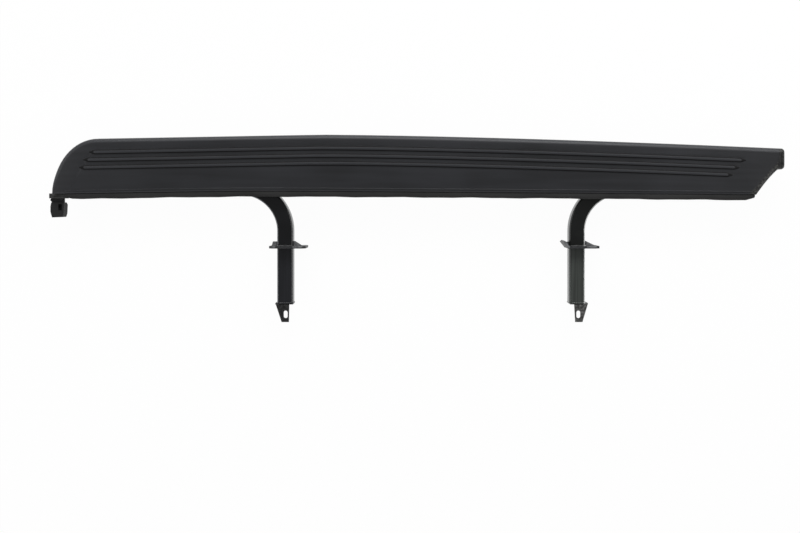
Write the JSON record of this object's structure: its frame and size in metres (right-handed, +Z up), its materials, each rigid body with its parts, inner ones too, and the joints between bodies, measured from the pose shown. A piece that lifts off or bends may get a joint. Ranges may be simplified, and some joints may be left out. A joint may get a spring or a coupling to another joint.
{
  "type": "side step",
  "caption": "Black moulded side step for a car: long ribbed tread board on a steel rail, with bent square-tube arms, bolt flanges and slotted end tabs.",
  "frame": {"origin": "on the ground under the middle of the step's overall length and depth", "axes": "+X along the step to the rear of the car, +Y to the step's outer edge, away from the car, +Z up"},
  "size_m": [1.846, 0.475, 0.084],
  "materials": {
    "cover_plastic": "fine moulded grain, satin black",
    "cap_plastic": "fine moulded grain, satin black",
    "seal_rubber": "dull soft rubber",
    "rail_steel": "black dip coat",
    "arm_paint": "semi-gloss black powder coat",
    "tab_paint": "satin black powder coat",
    "zinc_steel": "zinc plated",
    "plug_plastic": "plain black",
    "clip_plastic": "near-black moulded plastic"
  },
  "bodies": {
    "root": {"tread_cover": "cover_plastic", "sill_seal": "seal_rubber", "rear_end_cap": "cap_plastic", "support_rail": "rail_steel", "front_arm": "arm_paint", "rear_arm": "arm_paint", "front_flange": "arm_paint", "rear_flange": "arm_paint", "front_gussets": "arm_paint", "rear_gussets": "arm_paint", "front_end_bracket": "tab_paint", "rear_end_bracket": "tab_paint", "front_saddle": "arm_paint", "rear_saddle": "arm_paint", "front_bolts": "zinc_steel", "rear_bolts": "zinc_steel", "front_washers": "zinc_steel", "rear_washers": "zinc_steel", "front_nuts": "zinc_steel", "rear_nuts": "zinc_steel", "front_plug": "plug_plastic", "rear_plug": "plug_plastic", "cover_screws": "zinc_steel", "cap_screws": "zinc_steel", "front_clip": "clip_plastic", "clip_screw": "zinc_steel", "clip_strap": "rail_steel", "strap_screws": "zinc_steel"}
  },
  "joints": []
}
